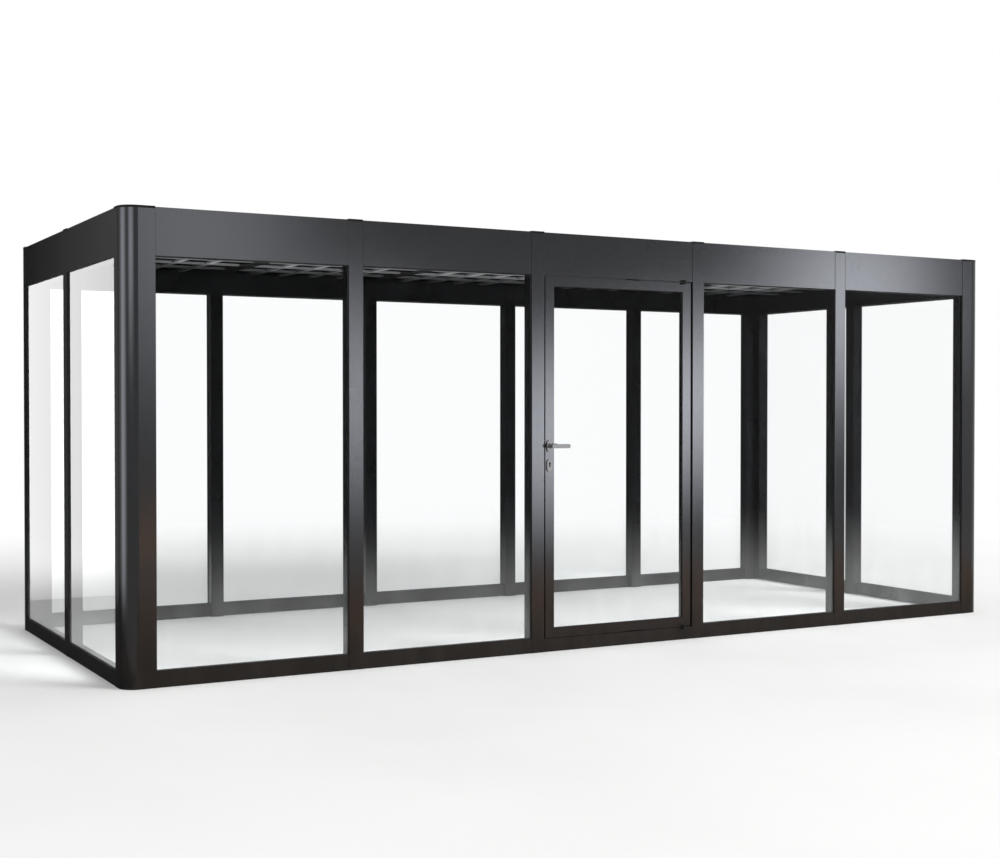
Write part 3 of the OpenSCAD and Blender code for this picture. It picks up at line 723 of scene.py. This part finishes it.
keeper = bmesh.new()
keeper_near, keeper_far = plate_y - PLATE_WIDTH / 2, plate_y + PLATE_WIDTH / 2
keeper_back, keeper_face = doorway_left, doorway_left + KEEPER_THICK
keeper_rows = [plate_mid - PLATE_TALL / 2]
for z, tall in ((bolt_z, BOLT_TALL), (latch_z, LATCH_TALL)):
    keeper_rows += [z - tall / 2 - KEEPER_PLAY, z + tall / 2 + KEEPER_PLAY]
keeper_rows.append(plate_mid + PLATE_TALL / 2)
for low_z, high_z in zip(keeper_rows[0::2], keeper_rows[1::2]):
    add_block(keeper, Vector((keeper_back, keeper_near, low_z)), Vector((keeper_face, keeper_far, high_z)))
for low_z, high_z in zip(keeper_rows[1:-1:2], keeper_rows[2::2]):
    for low_y in (keeper_near, keeper_far - KEEPER_RIM):
        rim_low = Vector((keeper_back, low_y, low_z))
        rim_high = Vector((keeper_face, low_y + KEEPER_RIM, high_z))
        add_block(keeper, rim_low, rim_high)
for z, side in ((keeper_rows[0], 1), (keeper_rows[-1], -1)):
    screw_seat = Vector((keeper_face, plate_y, z + side * PLATE_WIDTH / 2))
    add_screw(keeper, screw_seat, Vector((1, 0, 0)), PLATE_SCREW_RADIUS, PLATE_SCREW_HEIGHT)
new_piece("lock_keeper", keeper, rose_steel, "frame")

# Lever and roses: brushed stainless steel, a flat lever on each face of the leaf, pinned to one spindle by a
# grub screw under each neck, and oval roses behind it. A black bush ring lies round each neck, and a black
# dust flap closes each keyhole.
LEVER_NECK = 16 * MM
BUSH_WIDE, BUSH_RISE, BUSH_PLAY = 2.6 * MM, 0.9 * MM, 0.5 * MM
FLAP_RADIUS, FLAP_THICK, FLAP_RISE = 6 * MM, 0.4 * MM, 12 * MM
GRUB_RADIUS, GRUB_HEIGHT, GRUB_OUT = 2.6 * MM, 0.5 * MM, 20 * MM
LEVER_ROUGHNESS = (0.2, 0.34)
BRUSHED_ALONG = (0.08, 1, 1)
dress(["lever"], brushed("brushed_lever_steel", LEVER_ROUGHNESS, BRUSHED_ALONG))
dress(["lever_roses", "key_roses"], rose_steel)
neck_radius = LEVER_NECK / 2
bush_inner, bush_outer = neck_radius + BUSH_PLAY, neck_radius + BUSH_WIDE
bush_rings = [(0, bush_outer), (BUSH_RISE * 0.6, bush_outer), (BUSH_RISE, neck_radius + BUSH_WIDE * 0.7),
              (BUSH_RISE, bush_inner), (0, bush_inner)]
flap_rings = [(0, FLAP_RADIUS), (FLAP_THICK, FLAP_RADIUS), (FLAP_THICK, FLAP_RADIUS / 4)]
leaf_faces = (
    (lever_rose_low.y, lock_low.y, Vector((0, -1, 0))),
    (lever_rose_high.y, lock_high.y, Vector((0, 1, 0))),
)
bushes, keyhole_flaps, grub_screws = bmesh.new(), bmesh.new(), bmesh.new()
for rose_face, leaf_face, outward in leaf_faces:
    add_turned(bushes, Vector((lever_axis.x, rose_face, lever_axis.z)), outward, bush_rings, hollow=True)
    flap_seat = Vector((key_axis.x, leaf_face, key_axis.z + FLAP_RISE))
    add_turned(keyhole_flaps, flap_seat, outward, flap_rings)
    grub_seat = Vector((lever_axis.x, rose_face, lever_axis.z - neck_radius)) + outward * GRUB_OUT
    add_screw(grub_screws, grub_seat, Vector((0, 0, -1)), GRUB_RADIUS, GRUB_HEIGHT)
new_piece("neck_bushes", bushes, rubber, "door")
new_piece("keyhole_flaps", keyhole_flaps, rubber, "door")
new_piece("grub_screws", grub_screws, screw_steel, "handle")

# Studio floor: a pale matt sheet that keeps the shadow near the greenhouse and fades to plain white further
# out, where it meets a white backdrop.
FLOOR_HALF = 60.0
FLOOR_COLOUR = (0.88, 0.88, 0.875, 1)
FLOOR_GREY = (0.85, 0.85, 0.845, 1)
FLOOR_CLOUDS_PER_METRE = 0.6
FLOOR_ROUGHNESS = 0.9
FLOOR_DROP = 0.5 * MM
FADE_START, FADE_END = 3.5, 9.0
INSIDE_DIM = 0.9


def flat_piece(name, corners):
    """A single flat panel of the studio, with its own left-to-right and upward measure."""
    mesh = bpy.data.meshes.new(name)
    mesh.from_pydata(corners, [], [(0, 1, 2, 3)])
    measure = mesh.uv_layers.new(name="measure")
    for loop, place in zip(measure.data, ((0, 0), (1, 0), (1, 1), (0, 1))):
        loop.uv = place
    panel = bpy.data.objects.new(name, mesh)
    bpy.context.scene.collection.objects.link(panel)
    return panel


def level_corners(left, right, near, far, z):
    """Corners of a level panel."""
    return [(left, near, z), (right, near, z), (right, far, z), (left, far, z)]


def backdrop_light(tree):
    """Which rays see the white backdrop, and how strong. Metal inside mirrors a dimmer one through glass."""
    path = finish_node(tree, "LightPath")
    seen = combined(tree, "MAXIMUM", path.outputs["Is Camera Ray"], path.outputs["Is Transmission Ray"])
    seen = combined(tree, "MAXIMUM", seen, path.outputs["Is Glossy Ray"])
    mirrored = spread(tree, path.outputs["Glossy Depth"], 0.0, INSIDE_DIM)
    inside = combined(tree, "MULTIPLY", mirrored, path.outputs["Is Transmission Ray"])
    return seen, combined(tree, "SUBTRACT", 1.0, inside)


def studio_floor():
    """Pale matt floor that keeps the shadow near the greenhouse and turns plain white further out."""
    finish, tree, shader = new_finish("pale_floor")
    cloud = patches(tree, grain(tree, FLOOR_CLOUDS_PER_METRE, CLOUD_DETAIL), CLOUD_LEVELS)
    tree.links.new(colour_between(tree, cloud, FLOOR_COLOUR, FLOOR_GREY), shader.inputs["Base Color"])
    shader.inputs["Roughness"].default_value = FLOOR_ROUGHNESS
    shader.inputs["Specular IOR Level"].default_value = 0.0
    place = finish_node(tree, "TexCoord")
    distance = finish_node(tree, "VectorMath", operation="LENGTH")
    tree.links.new(place.outputs["Object"], distance.inputs[0])
    far_off = spread(tree, distance.outputs["Value"], 0, 1, FADE_START, FADE_END, smooth=True)
    white = finish_node(tree, "Emission")
    seen, strength = backdrop_light(tree)
    tree.links.new(strength, white.inputs["Strength"])
    fade = finish_node(tree, "MixShader")
    tree.links.new(combined(tree, "MULTIPLY", far_off, seen), fade.inputs["Fac"])
    tree.links.new(shader.outputs["BSDF"], fade.inputs[1])
    tree.links.new(white.outputs["Emission"], fade.inputs[2])
    tree.links.new(fade.outputs["Shader"], tree.nodes["Material Output"].inputs["Surface"])
    finish.cycles.emission_sampling = "NONE"
    return finish


floor = flat_piece("floor", level_corners(-FLOOR_HALF, FLOOR_HALF, -FLOOR_HALF, FLOOR_HALF, -FLOOR_DROP))
floor.data.materials.append(studio_floor())

# Sheen panels: soft-edged panels of light in front, at the left and under the roof. Each shows only as a
# sheen on its own group of nodes: long highlights on the coated metal, a warm tone low on the front, and
# pale reflections on the left panes and the ceiling bars.
PANEL_TINT = (0.93, 0.96, 1.06)
WHITE_TINT = (1, 1, 1)
WARM_TINT = (1, 0.4, 0.1)
WARM_CORNER_TINT = (1, 0.42, 0.08)
ALL_SOFT = (0.5, 0.5)
FRONT_PANEL_Y = -7.0
BAR_LIGHT_Y = {"front": -0.39, "rear": 0.444}
BAR_LIGHT_Z = 2.16
FRONT_METAL = WALL_POSTS["front"] + DOOR_METAL + ["front_fascia", "front_base_rails", "door_sill"]
DOOR_FITTINGS = ["lever", "lever_roses", "key_roses", "door_hinge_leaves", "frame_hinge_leaves"]


def node_group(name, nodes):
    """A group of CAD nodes that a light panel shows on or is hidden by."""
    group = bpy.data.collections.new(name)
    for node in nodes:
        group.objects.link(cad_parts[node])
    return group


def light_panel(name, centre, facing, size, soft, strength, group, tint=PANEL_TINT, lean=0, hidden_by=None):
    """A panel of light with soft edges across and up, which shows only as a sheen on a group of nodes. It can
    lean sideways by an angle in degrees, and be hidden by another group alone."""
    data = bpy.data.lights.new(name, "AREA")
    data.shape = "RECTANGLE"
    data.size, data.size_y = size
    data.energy = strength * math.pi * size[0] * size[1]
    data.color = tint
    data.use_nodes = True
    tree = data.node_tree
    measure = finish_node(tree, "NewGeometry")
    ways = finish_node(tree, "SeparateXYZ")
    tree.links.new(measure.outputs["Parametric"], ways.inputs["Vector"])
    fades = []
    for way, share in zip(("X", "Y"), soft):
        other_edge = combined(tree, "SUBTRACT", 1.0, ways.outputs[way])
        nearest_edge = combined(tree, "MINIMUM", ways.outputs[way], other_edge)
        fades.append(spread(tree, nearest_edge, 0, 1, 0, share, smooth=True))
    tree.links.new(combined(tree, "MULTIPLY", *fades), tree.nodes["Emission"].inputs["Strength"])
    panel = bpy.data.objects.new(name, data)
    bpy.context.scene.collection.objects.link(panel)
    panel.location = centre
    panel.rotation_euler = Vector(facing).to_track_quat("-Z", "Y").to_euler()
    panel.rotation_euler.rotate_axis("Z", math.radians(lean))
    panel.visible_camera = False
    panel.visible_diffuse = False
    panel.visible_transmission = False
    panel.light_linking.receiver_collection = group
    panel.light_linking.blocker_collection = hidden_by
    return panel


front_group = node_group("front_metal", FRONT_METAL)
front_group.objects.link(fillers)
corner_group = node_group("left_corner", ["corner_post_front_left"])
left_pane_group = node_group("left_panes", ["left_glass"])
bar_group = node_group("ceiling_grid", ["ceiling_bars"])
fittings = node_group("door_fittings", DOOR_FITTINGS)
on_front = {"facing": (0, 1, 0), "group": front_group, "hidden_by": fittings}
light_panel("left_band", (0.85, FRONT_PANEL_Y, 1.5), size=(2.6, 3.1), soft=ALL_SOFT, strength=11.5,
            **on_front)
light_panel("door_band", (4.0, FRONT_PANEL_Y, 1.32), size=(5.1, 3.0), soft=(0.3, 0.5), strength=16.5,
            lean=11, **on_front)
light_panel("right_panel", (7.1, FRONT_PANEL_Y, 2.6), size=(4.0, 3.6), soft=ALL_SOFT, strength=15.2,
            lean=25, **on_front)
light_panel("left_panel", (-0.75, FRONT_PANEL_Y, 3.0), size=(3.4, 4.6), soft=ALL_SOFT, strength=5.2,
            **on_front)
light_panel("warm_ground", (1.5, -3.7, 0), facing=(0, 0, 1), size=(9.0, 5.0), soft=(0.15, 0.5),
            strength=0.8, group=front_group, tint=WARM_TINT, hidden_by=fittings)
light_panel("warm_corner", (-1.2, FRONT_PANEL_Y, 0.0), facing=(0, 1, 0), size=(1.8, 1.7), soft=ALL_SOFT,
            strength=2.3, group=corner_group, tint=WARM_CORNER_TINT, hidden_by=fittings)
light_panel("side_panel", (-6.5, -1.0, 1.6), facing=(1, 0, 0), size=(4.2, 5.6), soft=(0.5, 0.35),
            strength=7.2, group=corner_group)
light_panel("high_panel", (-6.26, -6.1, 2.9), facing=(0.559, 0.829, 0), size=(6.0, 3.0), soft=ALL_SOFT,
            strength=8.3, group=corner_group)
light_panel("pane_panel", (-3.6, 2.6, 1.6), facing=(0, -1, 0), size=(2.4, 3.6), soft=(0.15, 0.15),
            strength=1.8, group=left_pane_group, tint=WHITE_TINT)
for side, bar_y in BAR_LIGHT_Y.items():
    bar_light = light_panel(f"{side}_bar_light", (0, bar_y, BAR_LIGHT_Z), facing=(0, 0, 1), size=(5.6, 0.1),
                            soft=(0.1, 0.5), strength=36.0, group=bar_group, tint=WHITE_TINT)
    bar_light.visible_diffuse = True

# Dim panels: faintly glowing flat sheets beside the left end and on the floor, which only the blurred
# reflections of coated metal see. They are painted reflections: they keep the metal dark where it would
# mirror the white backdrop, and the sheet on the floor in front glows warm for a warm tone low on the front.
DIM_LEFT, DIM_NEAR, DIM_FAR, DIM_TOP = -6.5, -1.6, 2.2, 7.0
DIM_CLEAR = 0.04
DIM_FADE = (0.7, 0.95)
DIM_FRONT_DEEP, DIM_FRONT_PAST = 3.5, 2.5
DIM_WARM_TINT = (1, 0.82, 0.66)


def dim_panel(name, corners, tint, left, right):
    """A dim panel that only coated metal mirrors, with a strength that goes from left to right."""
    finish, tree, shader = new_finish(name)
    shader.inputs["Base Color"].default_value = (0, 0, 0, 1)
    shader.inputs["Specular IOR Level"].default_value = 0.0
    shader.inputs["Emission Color"].default_value = (*tint, 1)
    shader.inputs["Emission Strength"].default_value = left
    if left != right:
        measure = finish_node(tree, "TexCoord")
        ways = finish_node(tree, "SeparateXYZ")
        tree.links.new(measure.outputs["UV"], ways.inputs["Vector"])
        fading = spread(tree, ways.outputs["X"], left, right, *DIM_FADE)
        tree.links.new(fading, shader.inputs["Emission Strength"])
    path = finish_node(tree, "LightPath")
    blurred = combined(tree, "SUBTRACT", path.outputs["Is Glossy Ray"], path.outputs["Is Singular Ray"])
    clear = finish_node(tree, "BsdfTransparent")
    mix = finish_node(tree, "MixShader")
    tree.links.new(blurred, mix.inputs["Fac"])
    tree.links.new(clear.outputs["BSDF"], mix.inputs[1])
    tree.links.new(shader.outputs["BSDF"], mix.inputs[2])
    tree.links.new(mix.outputs["Shader"], tree.nodes["Material Output"].inputs["Surface"])
    finish.cycles.emission_sampling = "NONE"
    panel = flat_piece(name, corners)
    panel.data.materials.append(finish)
    panel.visible_camera = False
    panel.visible_diffuse = False
    panel.visible_transmission = False
    panel.visible_shadow = False


left_face, right_face = cad_box[0][0], cad_box[1][0]
beside_left = [(x, DIM_FAR, 0) for x in (DIM_LEFT, left_face - DIM_CLEAR)]
beside_left += [(x, DIM_FAR, DIM_TOP) for x in (left_face - DIM_CLEAR, DIM_LEFT)]
dim_panel("dim_panel", beside_left, WHITE_TINT, left=0.25, right=0.02)
on_floor = -FLOOR_DROP / 2
left_ground = level_corners(DIM_LEFT, left_face, DIM_NEAR, DIM_FAR, on_floor)
dim_panel("dim_left_ground", left_ground, WHITE_TINT, left=0.04, right=0.03)
front_ground = level_corners(left_face, right_face + DIM_FRONT_PAST, front_face - DIM_FRONT_DEEP, front_face,
                             on_floor)
dim_panel("dim_front_ground", front_ground, DIM_WARM_TINT, left=0.45, right=0.45)

# Lamp and backdrop: one large soft lamp from the upper right and even light all round. Camera, glass and
# metal see a plain white backdrop in place of the even light.
LAMP_PLACE = Vector((12.0, -15.0, 13.0))
LAMP_AIM = Vector((0, 0, 1.0))
LAMP_SIZE = 9.0
LAMP_WATTS = 3300
AMBIENT = 0.72
lamp_data = bpy.data.lights.new("soft_lamp", "AREA")
lamp_data.energy = LAMP_WATTS
lamp_data.size = LAMP_SIZE
lamp = bpy.data.objects.new("soft_lamp", lamp_data)
bpy.context.scene.collection.objects.link(lamp)
lamp.location = LAMP_PLACE
lamp.rotation_euler = (LAMP_AIM - LAMP_PLACE).to_track_quat("-Z", "Y").to_euler()
lamp.visible_camera = False
lamp.visible_glossy = False

world = bpy.data.worlds.new("studio")
world.use_nodes = True
bpy.context.scene.world = world
sky = world.node_tree
ambient = sky.nodes["Background"]
ambient.inputs["Color"].default_value = (1, 1, 1, 1)
ambient.inputs["Strength"].default_value = AMBIENT
backdrop = finish_node(sky, "Background")
backdrop.inputs["Color"].default_value = (1, 1, 1, 1)
shown, strength = backdrop_light(sky)
sky.links.new(strength, backdrop.inputs["Strength"])
choice = finish_node(sky, "MixShader")
sky.links.new(shown, choice.inputs["Fac"])
sky.links.new(ambient.outputs["Background"], choice.inputs[1])
sky.links.new(backdrop.outputs["Background"], choice.inputs[2])
sky.links.new(choice.outputs["Shader"], sky.nodes["World Output"].inputs["Surface"])
bpy.context.scene.view_settings.view_transform = "Standard"

# Camera: it stands at eye height in front of the left end, turned to the right so that it looks along the
# long wall. Its place and lens were worked out from the straight edges of the building.
CAMERA_PLACE = (-4.885, -8.509, 1.404)
CAMERA_YAW, CAMERA_PITCH = 29.049, -0.860
CAMERA_LENS = 53.863
camera_data = bpy.data.cameras.new("camera")
camera_data.lens = CAMERA_LENS
camera = bpy.data.objects.new("camera", camera_data)
bpy.context.scene.collection.objects.link(camera)
camera.location = CAMERA_PLACE
camera.rotation_euler = (math.radians(90 + CAMERA_PITCH), 0, -math.radians(CAMERA_YAW))
bpy.context.scene.camera = camera
